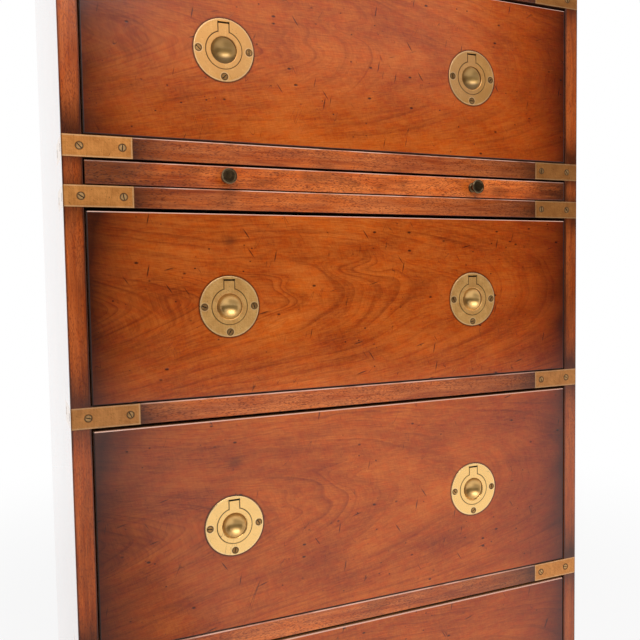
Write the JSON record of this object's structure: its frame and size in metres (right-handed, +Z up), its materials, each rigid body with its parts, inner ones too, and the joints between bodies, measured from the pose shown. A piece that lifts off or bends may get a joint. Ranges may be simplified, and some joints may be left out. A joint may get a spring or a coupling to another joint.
{
  "type": "campaign chest",
  "caption": "Tall campaign chest with long drawers on runners, a brushing slide, flush lifting ring pulls, and flush brass straps and corners on a plinth.",
  "frame": {"origin": "on the floor under the middle of the whole chest, knobs included", "axes": "+Z up, -Y towards the drawer fronts, +X to the right as one faces them"},
  "size_m": [0.61, 0.443, 1.2655],
  "materials": {
    "side_veneer": "gloss polished mahogany-coloured veneer",
    "rail_mahogany": "satin polished mahogany",
    "front_yew": "satin polished yew veneer, shaded darker at the ends",
    "slide_veneer": "satin polished veneer",
    "runner_pine": "bare planed softwood",
    "back_plywood": "bare stained plywood",
    "drawer_oak": "sealed planed hardwood",
    "drawer_plywood": "sealed plywood",
    "strap_brass": "satin, slightly tarnished",
    "pull_brass": "satin plate with a polished cup",
    "screw_brass": "tarnished, dark slots",
    "knob_bronze": "dark bronzed turned brass",
    "stud_steel": "plain steel stud"
  },
  "bodies": {
    "carcass": {"side_left": "side_veneer", "side_right": "side_veneer", "top_board": "side_veneer", "bottom_board": "rail_mahogany", "back_panel": "back_plywood", "front_rails": "rail_mahogany", "drawer_runners": "runner_pine", "drawer_stops": "runner_pine", "plinth_front": "rail_mahogany", "plinth_back": "runner_pine", "plinth_sides": "rail_mahogany", "plinth_blocks": "runner_pine", "straps": "strap_brass", "top_corners": "strap_brass", "base_corners": "strap_brass", "brass_screws": "screw_brass"},
    "drawer_1": {"drawer_1_front": "front_yew", "drawer_1_sides": "drawer_oak", "drawer_1_back": "drawer_oak", "drawer_1_bottom": "drawer_plywood", "drawer_1_pull_bases": "pull_brass", "drawer_1_pull_fixings": "screw_brass"},
    "drawer_1_ring_left": {"drawer_1_ring_left": "pull_brass"},
    "drawer_1_ring_right": {"drawer_1_ring_right": "pull_brass"},
    "drawer_2": {"drawer_2_front": "front_yew", "drawer_2_sides": "drawer_oak", "drawer_2_back": "drawer_oak", "drawer_2_bottom": "drawer_plywood", "drawer_2_pull_bases": "pull_brass", "drawer_2_pull_fixings": "screw_brass"},
    "drawer_2_ring_left": {"drawer_2_ring_left": "pull_brass"},
    "drawer_2_ring_right": {"drawer_2_ring_right": "pull_brass"},
    "drawer_3": {"drawer_3_front": "front_yew", "drawer_3_sides": "drawer_oak", "drawer_3_back": "drawer_oak", "drawer_3_bottom": "drawer_plywood", "drawer_3_pull_bases": "pull_brass", "drawer_3_pull_fixings": "screw_brass"},
    "drawer_3_ring_left": {"drawer_3_ring_left": "pull_brass"},
    "drawer_3_ring_right": {"drawer_3_ring_right": "pull_brass"},
    "drawer_4": {"drawer_4_front": "front_yew", "drawer_4_sides": "drawer_oak", "drawer_4_back": "drawer_oak", "drawer_4_bottom": "drawer_plywood", "drawer_4_pull_bases": "pull_brass", "drawer_4_pull_fixings": "screw_brass"},
    "drawer_4_ring_left": {"drawer_4_ring_left": "pull_brass"},
    "drawer_4_ring_right": {"drawer_4_ring_right": "pull_brass"},
    "drawer_5": {"drawer_5_front": "front_yew", "drawer_5_sides": "drawer_oak", "drawer_5_back": "drawer_oak", "drawer_5_bottom": "drawer_plywood", "drawer_5_pull_bases": "pull_brass", "drawer_5_pull_fixings": "screw_brass"},
    "drawer_5_ring_left": {"drawer_5_ring_left": "pull_brass"},
    "drawer_5_ring_right": {"drawer_5_ring_right": "pull_brass"},
    "brushing_slide": {"slide_board": "slide_veneer", "slide_lip": "rail_mahogany", "slide_knobs": "knob_bronze", "knob_studs": "stud_steel"}
  },
  "joints": [
    {"name": "drawer_1_slide", "type": "slide", "parent": "carcass", "child": "drawer_1", "axis": [0, -1, 0], "range_m": [0, 0.3]},
    {"name": "drawer_1_ring_left_lift", "type": "hinge", "parent": "drawer_1", "child": "drawer_1_ring_left", "pos_m": [-0.1479, -0.20685, 1.1884], "axis": [-1, 0, 0], "range_deg": [0, 90]},
    {"name": "drawer_1_ring_right_lift", "type": "hinge", "parent": "drawer_1", "child": "drawer_1_ring_right", "pos_m": [0.1479, -0.20685, 1.1884], "axis": [-1, 0, 0], "range_deg": [0, 90]},
    {"name": "drawer_2_slide", "type": "slide", "parent": "carcass", "child": "drawer_2", "axis": [0, -1, 0], "range_m": [0, 0.3]},
    {"name": "drawer_2_ring_left_lift", "type": "hinge", "parent": "drawer_2", "child": "drawer_2_ring_left", "pos_m": [-0.1479, -0.20685, 0.9959], "axis": [-1, 0, 0], "range_deg": [0, 90]},
    {"name": "drawer_2_ring_right_lift", "type": "hinge", "parent": "drawer_2", "child": "drawer_2_ring_right", "pos_m": [0.1479, -0.20685, 0.9959], "axis": [-1, 0, 0], "range_deg": [0, 90]},
    {"name": "drawer_3_slide", "type": "slide", "parent": "carcass", "child": "drawer_3", "axis": [0, -1, 0], "range_m": [0, 0.3]},
    {"name": "drawer_3_ring_left_lift", "type": "hinge", "parent": "drawer_3", "child": "drawer_3_ring_left", "pos_m": [-0.1479, -0.20685, 0.73965], "axis": [-1, 0, 0], "range_deg": [0, 90]},
    {"name": "drawer_3_ring_right_lift", "type": "hinge", "parent": "drawer_3", "child": "drawer_3_ring_right", "pos_m": [0.1479, -0.20685, 0.73965], "axis": [-1, 0, 0], "range_deg": [0, 90]},
    {"name": "drawer_4_slide", "type": "slide", "parent": "carcass", "child": "drawer_4", "axis": [0, -1, 0], "range_m": [0, 0.3]},
    {"name": "drawer_4_ring_left_lift", "type": "hinge", "parent": "drawer_4", "child": "drawer_4_ring_left", "pos_m": [-0.1479, -0.20685, 0.5124], "axis": [-1, 0, 0], "range_deg": [0, 90]},
    {"name": "drawer_4_ring_right_lift", "type": "hinge", "parent": "drawer_4", "child": "drawer_4_ring_right", "pos_m": [0.1479, -0.20685, 0.5124], "axis": [-1, 0, 0], "range_deg": [0, 90]},
    {"name": "drawer_5_slide", "type": "slide", "parent": "carcass", "child": "drawer_5", "axis": [0, -1, 0], "range_m": [0, 0.3]},
    {"name": "drawer_5_ring_left_lift", "type": "hinge", "parent": "drawer_5", "child": "drawer_5_ring_left", "pos_m": [-0.1479, -0.20685, 0.25065], "axis": [-1, 0, 0], "range_deg": [0, 90]},
    {"name": "drawer_5_ring_right_lift", "type": "hinge", "parent": "drawer_5", "child": "drawer_5_ring_right", "pos_m": [0.1479, -0.20685, 0.25065], "axis": [-1, 0, 0], "range_deg": [0, 90]},
    {"name": "brushing_slide_slide", "type": "slide", "parent": "carcass", "child": "brushing_slide", "axis": [0, -1, 0], "range_m": [0, 0.25]}
  ]
}
